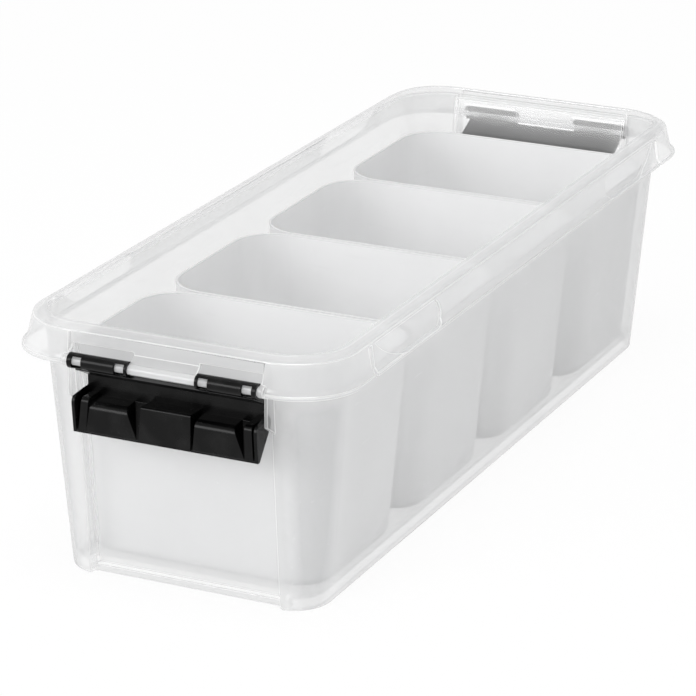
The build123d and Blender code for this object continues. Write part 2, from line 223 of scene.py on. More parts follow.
@dataclass(frozen=True)
class Finish:
    """A surface in a colour and a shade of it, which becomes a node material."""

    name: str
    colour: Triple
    shade: Triple

    def make(self) -> bpy.types.Material:
        """Writes the finish as a node material.

        Returns:
            The material.
        """
        material = bpy.data.materials.new(self.name)
        material.use_nodes = True
        graph = Graph(material.node_tree)
        coords = graph.node("ShaderNodeTexCoord", output="Object")
        graph.node("ShaderNodeOutputMaterial", None, {"Surface": self.surface(graph, coords)})
        return material

    def surface(self, graph: Graph, coords: Value) -> Value:
        """Shader of the finish, from Object coordinates."""
        raise NotImplementedError

    def two_toned(self, graph: Graph, kind: str, mask: Value) -> Value:
        """Plain shaders of one kind, in the colour and in the shade, mixed by a mask.

        Args:
            graph: Graph of the material.
            kind: Type of the shader node.
            mask: 0 for the colour and 1 for the shade.

        Returns:
            The mixed shader.
        """
        tones = [graph.node(kind, None, {"Color": (*tone, 1.0)})
                 for tone in (self.colour, self.shade)]
        return graph.mix(mask, *tones)


@dataclass(frozen=True)
class Plastic(Finish):
    """Surface of one moulded plastic, with the numbers that every plastic has."""

    roughness: float
    roughness_swing: float
    shine: float
    bump_depth: float

    def raised(self, graph: Graph, height: Value) -> Value:
        """Normal of the skin, from a height pattern from 0 to 1."""
        return graph.node("ShaderNodeBump", None, {
            "Strength": 1.0, "Distance": self.bump_depth * MM, "Height": height})

    def plastic(self, graph: Graph, mask: Value, raised: Value) -> Value:
        """Principled shader whose colour and gloss follow a mask.

        Args:
            graph: Graph of the material.
            mask: 0 where the surface is as moulded and 1 where it is shaded or worn.
            raised: Normal of the skin.

        Returns:
            The shader.
        """
        return graph.node("ShaderNodeBsdfPrincipled", None, {
            "Base Color": graph.blend(mask, self.colour, self.shade),
            "Roughness": self.roughness + self.roughness_swing * mask,
            "Specular IOR Level": self.shine,
            "Normal": raised})


@dataclass(frozen=True)
class MilkyPlastic(Plastic):
    """See-through polypropylene: each face lets light by, spreads some of it and shines."""

    name: str = "milky_plastic"
    colour: Triple = (0.98, 0.982, 0.985)
    # Darker tone for random clouds and flow marks, and for the painted shade on the corner rounds.
    shade: Triple = (0.70, 0.705, 0.712)
    roughness: float = 0.14
    roughness_swing: float = 0.06
    shine: float = 0.5
    bump_depth: float = 0.05
    veil: float = 0.37
    veil_swing: float = 0.03
    # Painted highlight: extra veil that whitens the crest.
    painted_crest_highlight: float = 0.18
    # Extra veil in the solid rods: partly their thicker plastic, partly a painted highlight for
    # the light they gather.
    rod_veil_and_painted_highlight: float = 0.45
    scratch_veil: float = 0.02
    spread: float = 0.60
    face_gloss: float = 0.03
    edge_gloss: float = 0.45
    gloss_power: float = 5.0
    cloud: Pattern = Pattern(60.0, 2.0)
    cloud_shade: float = 0.3
    flow: Pattern = Pattern(34.0, 3.0, (1.0, 1.0, 0.22))
    flow_shade: float = 0.2
    ripple: Pattern = Pattern(14.0, 1.5, (1.0, 1.0, 0.5))
    scuff: Pattern = Pattern(2.2, 3.0, (1.0, 0.12, 1.0))
    scratch_levels: Point = (0.68, 0.78)
    crest: Point = (137.8, 139.6)
    rod_out: float = 247.6
    rod_height: float = 122.8
    rod_edge: Point = (2.6, 2.99)
    rod_half_length: float = 54.0
    # Where the painted shade on the corner rounds lies, and how strong it is.
    column_across: Point = (58.0, 68.0)
    column_along: Point = (205.0, 222.0)
    column_top: Point = (104.0, 122.0)
    painted_corner_shade: float = 0.9

    def painted_corner_shade_mask(self, graph: Graph, place: tuple[Value, Value, Value]) -> Value:
        """Mask of painted shade that darkens the box's four upright corner rounds below the rim.

        Args:
            graph: Graph of the material.
            place: Parts of the Object coordinates.

        Returns:
            1 in the rounds and 0 elsewhere.
        """
        x, y, z = place
        across = graph.band(x.call("ABSOLUTE"), self.column_across, MM)
        along = graph.band(y.call("ABSOLUTE"), self.column_along, MM)
        above = graph.band(z, self.column_top, MM)
        return across * along * (1.0 - above)

    def near_rod(self, graph: Graph, place: tuple[Value, Value, Value]) -> Value:
        """Mask of the two solid hinge rods.

        Args:
            graph: Graph of the material.
            place: Parts of the Object coordinates.

        Returns:
            1 in the rods and 0 elsewhere.
        """
        x, y, z = place
        out = y.call("ABSOLUTE") - self.rod_out * MM
        up = z - self.rod_height * MM
        away = (out * out + up * up).call("SQRT")
        near = 1.0 - graph.band(away, self.rod_edge, MM)
        return near * (x.call("ABSOLUTE") < self.rod_half_length * MM)

    def surface(self, graph: Graph, coords: Value) -> Value:
        """Veil with faint flow marks and thin gloss; denser rods; painted highlight at crest and
        rods.

        Args:
            graph: Graph of the material.
            coords: Object coordinates.

        Returns:
            The shader.
        """
        place = graph.split(coords)
        flow = graph.noise(coords, self.flow)
        scratched = graph.band(graph.noise(coords, self.scuff), self.scratch_levels)
        # The crest's extra veil is a painted highlight that whitens it.
        crest = graph.band(place[2], self.crest, MM)
        # The rods' extra veil is partly denser plastic and partly a painted highlight.
        veil = (self.veil + self.veil_swing * (flow - 0.5) + self.painted_crest_highlight * crest
                + self.rod_veil_and_painted_highlight * self.near_rod(graph, place) + self.scratch_veil * scratched)
        # Random clouds and flow marks, plus painted shade on the corner rounds.
        mask = (self.cloud_shade * graph.noise(coords, self.cloud) + self.flow_shade * flow
                + self.painted_corner_shade * self.painted_corner_shade_mask(graph, place)).call("MINIMUM", 1.0)
        raised = self.raised(graph, graph.noise(coords, self.ripple))
        spreading = self.two_toned(graph, "ShaderNodeBsdfTranslucent", mask)
        milk = graph.mix(self.spread, self.plastic(graph, mask, raised), spreading)
        body = graph.mix(veil, graph.node("ShaderNodeBsdfTransparent"), milk)
        return self.glossed(graph, body, raised)

    def glossed(self, graph: Graph, body: Value, raised: Value) -> Value:
        """Puts a body under a gloss that grows towards its outline, on a wall's near side.

        Args:
            graph: Graph of the material.
            body: Shader of the body.
            raised: Normal of the skin.

        Returns:
            The shader with its gloss.
        """
        sheen = graph.node("ShaderNodeBsdfGlossy", None,
                           {"Roughness": self.roughness, "Normal": raised})
        facing = graph.node("ShaderNodeLayerWeight", output="Facing")
        near = 1.0 - graph.node("ShaderNodeNewGeometry", output="Backfacing")
        edge = self.edge_gloss * facing.call("POWER", self.gloss_power)
        return graph.mix(near * (self.face_gloss + edge), body, sheen)


@dataclass(frozen=True)
class ClearSkin(MilkyPlastic):
    """Inner face of the see-through wall: the gloss alone, with hardly any veil."""

    name: str = "clear_skin"
    shade: Triple = (0.965, 0.968, 0.972)
    veil: float = 0.03
    veil_swing: float = 0.01
    painted_crest_highlight: float = 0.0
    rod_veil_and_painted_highlight: float = 0.0
    spread: float = 0.0


@dataclass(frozen=True)
class PaintedEdgeHighlight(MilkyPlastic):
    """Rounded edge of the see-through plastic, made whiter and milkier as a fine painted highlight
    line.
    """

    name: str = "painted_edge_highlight"
    colour: Triple = (1.0, 1.0, 1.0)
    shade: Triple = (0.95, 0.955, 0.96)
    roughness: float = 0.10
    roughness_swing: float = 0.04
    shine: float = 0.6
    veil: float = 0.62
    painted_crest_highlight: float = 0.0
    rod_veil_and_painted_highlight: float = 0.1
    spread: float = 0.45
    face_gloss: float = 0.10
    painted_corner_shade: float = 0.0


@dataclass(frozen=True)
class SatinWhite(Plastic):
    """Opaque white polypropylene with a fine satin skin and a few faint rubs."""

    name: str = "satin_white"
    colour: Triple = (0.845, 0.847, 0.85)
    # Greyer tone for clouds and rubs, and for the painted shade on the rim.
    shade: Triple = (0.64, 0.642, 0.645)
    roughness: float = 0.42
    roughness_swing: float = 0.10
    shine: float = 0.4
    bump_depth: float = 0.04
    cloud: Pattern = Pattern(45.0, 3.0)
    cloud_levels: Point = (0.35, 0.75)
    cloud_shade: float = 0.11
    rub: Pattern = Pattern(3.0, 4.0, (0.15, 0.15, 1.0))
    rub_levels: Point = (0.62, 0.72)
    rub_shade: float = 0.04
    # Painted shade on the thin rim's top, greying it towards the shade colour.
    rim: Point = (115.3, 115.8)
    rim_painted_shade: float = 0.85
    wave: Pattern = Pattern(22.0, 1.0)
    grain: Pattern = Pattern(0.6, 2.0)
    grain_share: float = 0.2

    def surface(self, graph: Graph, coords: Value) -> Value:
        """Near even white, slightly greyer in clouds and thin rubs, and painted shade on the thin
        rim.

        Args:
            graph: Graph of the material.
            coords: Object coordinates.

        Returns:
            The shader.
        """
        cloud = graph.band(graph.noise(coords, self.cloud), self.cloud_levels)
        rub = graph.band(graph.noise(coords, self.rub), self.rub_levels)
        rim = graph.band(graph.split(coords)[2], self.rim, MM)
        mask = self.cloud_shade * cloud + self.rub_shade * rub + self.rim_painted_shade * rim
        skin = ((1.0 - self.grain_share) * graph.noise(coords, self.wave)
                + self.grain_share * graph.noise(coords, self.grain))
        return self.plastic(graph, mask, self.raised(graph, skin))


@dataclass(frozen=True)
class MouldedBlack(Plastic):
    """Black plastic with a fine grain, a few pale specks of dust and rubbed spots."""

    name: str = "moulded_black"
    colour: Triple = (0.002, 0.002, 0.0021)
    shade: Triple = (0.03, 0.03, 0.03)
    roughness: float = 0.22
    roughness_swing: float = 0.15
    shine: float = 0.16
    bump_depth: float = 0.035
    cloud: Pattern = Pattern(14.0, 3.0)
    cloud_levels: Point = (0.4, 0.75)
    cloud_shade: float = 0.22
    grain: Pattern = Pattern(0.45, 2.0)
    grain_share: float = 0.6
    speck_spacing: float = 5.5
    speck_edge: Point = (0.022, 0.055)
    clean_share: float = 0.72

    def surface(self, graph: Graph, coords: Value) -> Value:
        """Grain and clouds of gloss, with pale specks where a random cell has one.

        Args:
            graph: Graph of the material.
            coords: Object coordinates.

        Returns:
            The shader.
        """
        cloud = graph.noise(coords, self.cloud)
        away = graph.node("ShaderNodeTexVoronoi", {"feature": "F1"},
                          {"Vector": coords, "Scale": 1.0 / (self.speck_spacing * MM)},
                          output="Distance")
        chance = graph.node("ShaderNodeSeparateColor", None, {0: away.also("Color")})
        speck = (1.0 - graph.band(away, self.speck_edge)) * (chance > self.clean_share)
        rubbed = self.cloud_shade * graph.band(cloud, self.cloud_levels)
        mask = (rubbed + speck).call("MINIMUM", 1.0)
        skin = (self.grain_share * graph.noise(coords, self.grain)
                + (1.0 - self.grain_share) * cloud)
        return self.plastic(graph, mask, self.raised(graph, skin))


@dataclass(frozen=True)
class PalePaper(Finish):
    """Pale studio floor that the camera, gloss and glass see as white but for its shadows."""

    name: str = "pale_paper"
    colour: Triple = (0.86, 0.86, 0.86)
    shade: Triple = (0.8471, 0.8471, 0.8471)
    fibre: Pattern = Pattern(3.0, 4.0)
    lift: float = 0.93

    def surface(self, graph: Graph, coords: Value) -> Value:
        """Matte paper, lifted to white where it is looked at.

        Args:
            graph: Graph of the material.
            coords: Object coordinates.

        Returns:
            The shader.
        """
        paper = self.two_toned(graph, "ShaderNodeBsdfDiffuse", graph.noise(coords, self.fibre))
        glow = graph.node("ShaderNodeEmission", None, {"Color": WHITE})
        path = graph.node("ShaderNodeLightPath", output="Is Camera Ray")
        seen = path.call("MAXIMUM", path.also("Is Glossy Ray"))
        seen = seen.call("MAXIMUM", path.also("Is Transmission Ray"))
        return graph.mix(self.lift * seen, paper, glow)


def round_corner(points: list[Point], at: int, radius: float) -> list[Point]:
    """Rounds one corner of an outline.

    Args:
        points: Corners of the outline.
        at: Place of the corner in the list.
        radius: Radius of the round in millimetres.

    Returns:
        The outline with the corner's round in its place.
    """
    corner = Vector(points[at])
    before = (Vector(points[at - 1]) - corner).normalized()
    after = (Vector(points[(at + 1) % len(points)]) - corner).normalized()
    half = before.angle(after) / 2
    middle = corner + (before + after).normalized() * (radius / math.sin(half))
    start = corner + before * (radius / math.tan(half)) - middle
    end = corner + after * (radius / math.tan(half)) - middle
    round_points = []
    for step in range(CORNER_STEPS + 1):
        ray = start.normalized().slerp(end.normalized(), step / CORNER_STEPS)
        round_points.append(tuple(middle + ray * radius))
    return points[:at] + round_points + points[at + 1:]


def add_bar(mesh: bmesh.types.BMesh, points: list[Point], low: float, high: float) -> None:
    """Adds a closed bar along X to a mesh.

    Args:
        mesh: Mesh that the bar is added to.
        points: Outline of the bar in Y and Z, in millimetres.
        low: Where the bar starts in X, in millimetres.
        high: Where it ends.
    """
    rings = []
    for x in (low, high):
        rings.append([mesh.verts.new((x * MM, y * MM, z * MM)) for y, z in points])
    count = len(points)
    mesh.faces.new(rings[0])
    mesh.faces.new(list(reversed(rings[1])))
    for k in range(count):
        after = (k + 1) % count
        mesh.faces.new((rings[0][after], rings[0][k], rings[1][k], rings[1][after]))


def new_object(name: str, mesh: bmesh.types.BMesh) -> bpy.types.Object:
    """Makes an object of a finished mesh and links it to the scene.

    Args:
        name: Name of the object and of its mesh.
        mesh: The finished mesh, which is freed.

    Returns:
        The object.
    """
    data = bpy.data.meshes.new(name)
    mesh.to_mesh(data)
    mesh.free()
    made = bpy.data.objects.new(name, data)
    bpy.context.scene.collection.objects.link(made)
    return made


def new_bar(name: str, points: list[Point], low: float, high: float) -> bpy.types.Object:
    """Makes an object that is one closed bar along X.

    Args:
        name: Name of the object.
        points: Outline of the bar in Y and Z, in millimetres.
        low: Where the bar starts in X, in millimetres.
        high: Where it ends.

    Returns:
        The object.
    """
    mesh = bmesh.new()
    add_bar(mesh, points, low, high)
    return new_object(name, mesh)


def settle(piece: bpy.types.Object) -> bpy.types.Object:
    """Turns the result of a piece's modifiers into its plain mesh, and removes them.

    Args:
        piece: Piece with its modifiers.

    Returns:
        The same piece, without them.
    """
    graph = bpy.context.evaluated_depsgraph_get()
    plain = bpy.data.meshes.new_from_object(piece.evaluated_get(graph))
    piece.modifiers.clear()
    piece.data = plain
    plain.name = piece.name
    return piece


def drop(piece: bpy.types.Object) -> None:
    """Removes a helper object from the scene."""
    bpy.data.objects.remove(piece)


def face_outwards(piece: bpy.types.Object) -> None:
    """Merges a piece's points that are in one place and turns its closed shells outwards.

    Args:
        piece: Piece whose mesh is changed.
    """
    mesh = bmesh.new()
    mesh.from_mesh(piece.data)
    bmesh.ops.remove_doubles(mesh, verts=mesh.verts, dist=SAME_POINT)
    bmesh.ops.recalc_face_normals(mesh, faces=mesh.faces)
    mesh.to_mesh(piece.data)
    mesh.free()


def soften(piece: bpy.types.Object, width: float, angle: float, clamp: bool = True,
           finish: int = -1) -> None:
    """Rounds a piece's edges that bend more than the angle.

    Args:
        piece: Piece to round.
        width: Width of the round in millimetres.
        angle: Least bend of a rounded edge in degrees.
        clamp: Whether rounds stop where they would overlap.
        finish: Place of the rounds' finish in the piece's list, or -1 for their neighbours'.
    """
    bevel = piece.modifiers.new("edge round", "BEVEL")
    bevel.use_clamp_overlap = clamp
    bevel.material = finish
    bevel.width = width * MM
    bevel.segments = ROUND_SEGMENTS
    bevel.limit_method = "ANGLE"
    bevel.angle_limit = math.radians(angle)
    bevel.miter_outer = "MITER_ARC"
    settle(piece)


def shade_by_angle(piece: bpy.types.Object, angle: float = 30.0) -> None:
    """Shades a piece smooth but for sharp edges, with flat faces kept flat beside rounds.

    Args:
        piece: Piece to shade.
        angle: Least bend of a sharp edge in degrees.
    """
    piece.data.shade_smooth()
    piece.data.set_sharp_from_angle(angle=math.radians(angle))
    weighing = piece.modifiers.new("flat faces", "WEIGHTED_NORMAL")
    weighing.keep_sharp = True
    settle(piece)


def carry(piece: bpy.types.Object, body: str,
          finishes: tuple[bpy.types.Material, ...], node: str) -> None:
    """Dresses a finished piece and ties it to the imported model.

    Args:
        piece: The finished piece.
        body: Body that it rides on.
        finishes: Materials in the order of its faces' material numbers.
        node: CAD node that it replaces.
    """
    while len(piece.data.materials) > len(finishes):
        piece.data.materials.pop()
    while len(piece.data.materials) < len(finishes):
        piece.data.materials.append(None)
    for place, finish in enumerate(finishes):
        piece.data.materials[place] = finish
    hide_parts(node)
    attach(piece, body)
    LOG.info("%s: %d faces on %s", piece.name, len(piece.data.polygons), body)


class NodeMachine:
    """Geometry node tree with named inputs, which works on a helper mesh."""

    def __init__(self, name: str, lengths: tuple[str, ...], counts: tuple[str, ...]) -> None:
        """Makes the empty tree.

        Args:
            name: Name of the tree.
            lengths: Names of the inputs that are lengths.
            counts: Names of the inputs that are whole numbers.
        """
        self.tree = bpy.data.node_groups.new(name, "GeometryNodeTree")
        self.add_socket("Geometry", "Geometry")
        for title in lengths:
            self.add_socket(title, "Float")
        for title in counts:
            self.add_socket(title, "Int")
        self.add_socket("Material", "Material")
        self.add_socket("Geometry", "Geometry", "OUTPUT")
        self.graph = Graph(self.tree)
        self.given = self.graph.node("NodeGroupInput", output="Geometry")

    def add_socket(self, title: str, kind: str, way: str = "INPUT") -> None:
        """Adds an input or an output to the tree."""
        self.tree.interface.new_socket(title, in_out=way, socket_type=f"NodeSocket{kind}")

    def size(self, title: str) -> Value:
        """Value of a named input."""
        return self.given.also(title)

    def end(self, geometry: Value) -> None:
        """Ends the tree in real geometry with its material.

        Args:
            geometry: Geometry that the tree has made.
        """
        real = self.graph.node("GeometryNodeRealizeInstances", None, {0: geometry})
        dressed = self.graph.node("GeometryNodeSetMaterial", None,
                                  {"Geometry": real, "Material": self.size("Material")})
        self.graph.node("NodeGroupOutput", None, {0: dressed})

    def run(self, helper: bpy.types.Object, finish: bpy.types.Material,
            sizes: dict[str, float | int]) -> bpy.types.Object:
        """Runs the tree on a helper object and settles the result.

        Args:
            helper: Object whose mesh the tree starts from.
            finish: Material of the result.
            sizes: Each named input: a length in millimetres or a whole number.

        Returns:
            The helper, which now holds the plain result.
        """
        values = {title: size * MM if isinstance(size, float) else size
                  for title, size in sizes.items()}
        values["Material"] = finish
        modifier = helper.modifiers.new(self.tree.name, "NODES")
        modifier.node_group = self.tree
        for item in self.tree.interface.items_tree:
            if item.in_out == "INPUT" and item.name in values:
                modifier[item.identifier] = values[item.name]
        return settle(helper)


def drafted_wall_machine() -> NodeMachine:
    """Tree that leads a wall's profile round a rounded rectangle that grows with height.

    The helper mesh is the profile. Each of its points has the inset from the outer face as X,
    the share of the way in to the middle of the floor as Y, and the height as Z. A grid, from
    -0.5 to 0.5 each way, has a row for each of these points and is closed into the wall.

    Returns:
        The tree, ready to run.
    """
    machine = NodeMachine("wall round a drafted rectangle", (
        "Base Half Width", "Base Half Length", "Base Corner", "Rim Half Width",
        "Rim Half Length", "Rim Corner", "Base Height", "Rim Height"), ("Corner Points",))
    graph = machine.graph
    least_corner = 0.3 * MM
    seam = 0.01 * MM
    nudge = 0.0001
    quarter_turn = math.pi / 2
    steps = machine.size("Corner Points")
    rows = graph.node("GeometryNodeAttributeDomainSize", {"component": "MESH"},
                      {0: machine.given})
    columns = 4.0 * steps + 1.0
    grid = graph.node("GeometryNodeMeshGrid", None,
                      {"Vertices X": columns, "Vertices Y": rows})
    place = graph.node("GeometryNodeInputPosition")
    across, along, _ = graph.split(place)
    column = ((across + 0.5) * (columns - 1.0)).call("ROUND")
    row = ((along + 0.5) * (rows - 1.0)).call("ROUND")
    profile = graph.node("GeometryNodeSampleIndex", {"data_type": "FLOAT_VECTOR"},
                         {0: machine.given, "Value": place, "Index": row})
    inset, inward, height = graph.split(profile)
    low = machine.size("Base Height")
    share = (height - low) / (machine.size("Rim Height") - low)

    def drafted(title: str) -> Value:
        """Size at this height, less the inset."""
        start = machine.size(f"Base {title}")
        return start + (machine.size(f"Rim {title}") - start) * share - inset

    corner = drafted("Corner").call("MAXIMUM", least_corner)
    quarter = (column / steps + nudge).call("FLOOR")
    turn = (quarter + (column - quarter * steps) / (steps - 1.0)) * quarter_turn
    middle = (quarter + 0.5) * quarter_turn
    sides = []
    for title, function in (("Half Width", "COSINE"), ("Half Length", "SINE")):
        way = middle.call(function).call("SIGN")
        side = way * (drafted(title) - corner) + corner * turn.call(function)
        sides.append(side * (1.0 - inward))
    moved = graph.node("GeometryNodeSetPosition", None,
                       {"Geometry": grid, "Position": graph.join(*sides, height)})
    closed = graph.node("GeometryNodeMergeByDistance", None,
                        {"Geometry": moved, "Distance": seam})
    machine.end(closed)
    return machine


def leaning_blocks_machine() -> NodeMachine:
    """Tree that repeats a block along X, with sides that lean as they rise.

    The helper mesh is one block from -1 to 1 in X with its real side profile. Where the row is
    mirrored, the blocks left of the middle are turned about.

    Returns:
        The tree, ready to run.
    """
    machine = NodeMachine("row of leaning blocks", (
        "First Middle", "Spacing", "Foot Half Width", "Foot Height", "Lean Height",
        "Left Lean", "Right Lean"), ("Count", "Mirrored"))
    graph = machine.graph
    across, depth, height = graph.split(graph.node("GeometryNodeInputPosition"))
    foot = machine.size("Foot Height")
    rise = (height - foot) / (machine.size("Lean Height") - foot)
    rise = rise.call("MINIMUM", 1.0).call("MAXIMUM", 0.0)
    right = across > 0.0
    lean = (1.0 - right) * machine.size("Left Lean") - right * machine.size("Right Lean")
    x = across * machine.size("Foot Half Width") + lean * rise
    block = graph.node("GeometryNodeSetPosition", None, {
        "Geometry": machine.given, "Position": graph.join(x, depth, height)})
    line = graph.node("GeometryNodeMeshLine", None, {
        "Count": machine.size("Count"), "Start Location": graph.join(machine.size("First Middle")),
        "Offset": graph.join(machine.size("Spacing"))})
    mirrored = machine.size("Mirrored")
    side = (1.0 - mirrored) + mirrored * across.call("SIGN")
    row = graph.node("GeometryNodeInstanceOnPoints", None, {
        "Points": line, "Instance": block, "Scale": graph.join(side, 1.0, 1.0)})
    machine.end(row)
    return machine


@dataclass
class BoxBody:
    """See-through box: drafted wall, raised floor, flared rim, end aprons and hinge rods."""

    node: str = "box_body"
    merge: float = 0.1
    flat_angle: float = 0.5
    edge_round: float = 0.45
    edge_angle: float = 28.0
    spine: float = 160.0
    rod_start: float = 243.5
    apron_top: float = 126.0
    rim_start: float = 100.0
    foot_start: float = 225.0
    level: float = 0.8

    def build(self, *finishes: bpy.types.Material) -> bpy.types.Object:
        """Builds the box from its solid, with shared corners and smooth rounds.

        Args:
            finishes: Materials in the order of BoxFace.

        Returns:
            The box.
        """
        mesh = bmesh.new()
        mesh.from_mesh(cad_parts[self.node].data)
        bmesh.ops.remove_doubles(mesh, verts=mesh.verts, dist=self.merge * MM)
        bmesh.ops.dissolve_degenerate(mesh, edges=mesh.edges, dist=self.merge * MM)
        bmesh.ops.dissolve_limit(mesh, angle_limit=math.radians(self.flat_angle),
                                 verts=mesh.verts, edges=mesh.edges)
        bmesh.ops.triangulate(mesh, faces=mesh.faces)
        for face in mesh.faces:
            face.material_index = self.kind(face).value
        body = new_object("box_shell", mesh)
        for _ in finishes:
            body.data.materials.append(None)
        # The rounds get the painted edge highlight finish.
        soften(body, self.edge_round, self.edge_angle, False, BoxFace.EDGE.value)
        low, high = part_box(self.node)
        for corner in body.data.vertices:
            corner.co = Vector(max(low[k], min(high[k], corner.co[k])) for k in range(3))
        shade_by_angle(body)
        carry(body, "box", finishes, self.node)
        return body

    def kind(self, face: bmesh.types.BMFace) -> BoxFace:
        """Tells a wall's inner side from its outer one, so that each wall has one milky side.

        Args:
            face: Face of the box, before its edges are rounded.

        Returns:
            INNER or OUTER.
        """
        middle = face.calc_center_median() / MM
        if abs(middle.y) > self.rod_start and middle.z < self.apron_top:
            return BoxFace.OUTER
        if abs(face.normal.z) > self.level:
            inside = middle.z < self.rim_start and abs(middle.y) < self.foot_start
            inner = inside and face.normal.z > 0
        else:
            spine = max(-self.spine, min(self.spine, middle.y))
            inner = Vector((middle.x, middle.y - spine, 0.0)).dot(face.normal) < 0
        return BoxFace.INNER if inner else BoxFace.OUTER


@dataclass
class LiftOutBin:
    """Open white bin: rounded foot, drafted wall and a softly rounded rim."""

    half_width: float = 76.705
    half_length: float = 55.3435
    corner: float = 24.0
    base_half_width: float = 67.62
    base_half_length: float = 48.7435
    base_corner: float = 19.0
    base_height: float = 8.0
    rim_height: float = 116.3
    wall: float = 1.6
    floor: float = 1.8
    foot_round: float = 5.0
    side_shift: float = 2.0
    pitch: float = 112.087
    corner_points: int = 14
    round_steps: int = 7
    floor_shares: Triple = (1.0, 0.66, 0.33)
    sharp_angle: float = 40.0

    def round_points(self, middle: Point, radius: float, start: float,
                     end: float) -> list[Triple]:
        """Points of the profile along a round.

        Args:
            middle: Inset and height of the round's middle.
            radius: Radius of the round.
            start: Direction of the first point from the middle, in degrees.
            end: Direction of the last point.

        Returns:
            Inset, share of the way in and height of each point.
        """
        points = []
        for step in range(self.round_steps + 1):
            turn = math.radians(start + (end - start) * step / self.round_steps)
            points.append((middle[0] + radius * math.cos(turn), 0.0,
                           middle[1] + radius * math.sin(turn)))
        return points

    def profile(self) -> list[Triple]:
        """Leads the profile from the middle of the underside round the rim and back in.

        Returns:
            Inset, share of the way in and height of each point, to the middle of the floor.
        """
        foot = self.foot_round
        half = self.wall / 2
        inner_round = foot - half
        floor_edge = self.wall + inner_round
        inside = self.base_height + self.floor
        points = [(foot, share, self.base_height) for share in self.floor_shares]
        points += self.round_points((foot, self.base_height + foot), foot, 270.0, 180.0)
        points += self.round_points((half, self.rim_height - half), half, 180.0, 0.0)
        points += self.round_points((floor_edge, inside + inner_round), inner_round, 180.0, 270.0)
        points += [(floor_edge, share, inside) for share in reversed(self.floor_shares)]
        return points

    def build(self, number: int, machine: NodeMachine,
              finish: bpy.types.Material) -> bpy.types.Object:
        """Builds one bin in its place.

        Args:
            number: Place of the bin, from 1 at the front.
            machine: Tree that leads the profile round the bin.
            finish: Material of the bin.

        Returns:
            The bin.
        """
        helper = bmesh.new()
        for inset, share, height in self.profile():
            helper.verts.new((inset * MM, share, height * MM))
        node = f"bin_{number}"
        piece = new_object(f"{node}_shell", helper)
        machine.run(piece, finish, {
            "Base Half Width": self.base_half_width, "Base Half Length": self.base_half_length,
            "Base Corner": self.base_corner, "Base Height": self.base_height,
            "Rim Half Width": self.half_width, "Rim Half Length": self.half_length,
            "Rim Corner": self.corner, "Rim Height": self.rim_height,
            "Corner Points": self.corner_points})
        face_outwards(piece)
        along = (number - (BIN_COUNT + 1) / 2) * self.pitch
        piece.data.transform(Matrix.Translation((self.side_shift * MM, along * MM, 0.0)))
        shade_by_angle(piece, self.sharp_angle)
        carry(piece, node, (finish,), node)
        return piece


@dataclass
class Hook:
    """C-shaped hook of a clip, with two windows that show the rod."""

    inner: float = 18.8
    outer: float = 52.0
    bore: float = 2.48
    radius: float = 3.98
    mouth: Point = (36.0, 292.0)
    window_start: float = -5.97
    window_width: float = 5.6
    window_height: float = 6.0
    outer_ring: float = 2.3
    inner_ring: float = 1.4
    steps: int = 30

    def outline(self) -> list[Point]:
        """Closed outline of the C, out along the bore and back along the outside.

        Returns:
            Points in Y and Z round the rod's axis.
        """
        start, end = (math.radians(angle) for angle in self.mouth)
        turns = [start + (end - start) * step / self.steps for step in range(self.steps + 1)]
        inside = [(self.bore * math.cos(turn), self.bore * math.sin(turn)) for turn in turns]
        outside = [(self.radius * math.cos(turn), self.radius * math.sin(turn))
                   for turn in reversed(turns)]
        return inside + outside

    def build(self, side: int) -> bpy.types.Object:
        """Builds one hook of the clip.

        Args:
            side: -1 for the left hook or 1 for the right one.

        Returns:
            The hook.
        """
        low, high = sorted((side * self.inner, side * self.outer))
        hook = new_bar("hook", self.outline(), low, high)
        face_outwards(hook)
        half = self.window_width / 2
        for middle in (self.outer - self.outer_ring - half, self.inner + self.inner_ring + half):
            self.cut_window(hook, side * middle)
        return hook

    def cut_window(self, hook: bpy.types.Object, middle: float) -> None:
        """Cuts one window through the front of a hook.

        Args:
            hook: Hook that is cut.
            middle: Middle of the window in X.
        """
        half = self.window_height / 2
        outline = [(self.window_start, -half), (0.0, -half), (0.0, half),
                   (self.window_start, half)]
        cutter = new_bar("window", outline, middle - self.window_width / 2,
                         middle + self.window_width / 2)
        face_outwards(cutter)
        cut = hook.modifiers.new("window", "BOOLEAN")
        cut.object = cutter
        cut.operation = "DIFFERENCE"
        cut.solver = "EXACT"
        settle(hook)
        drop(cutter)


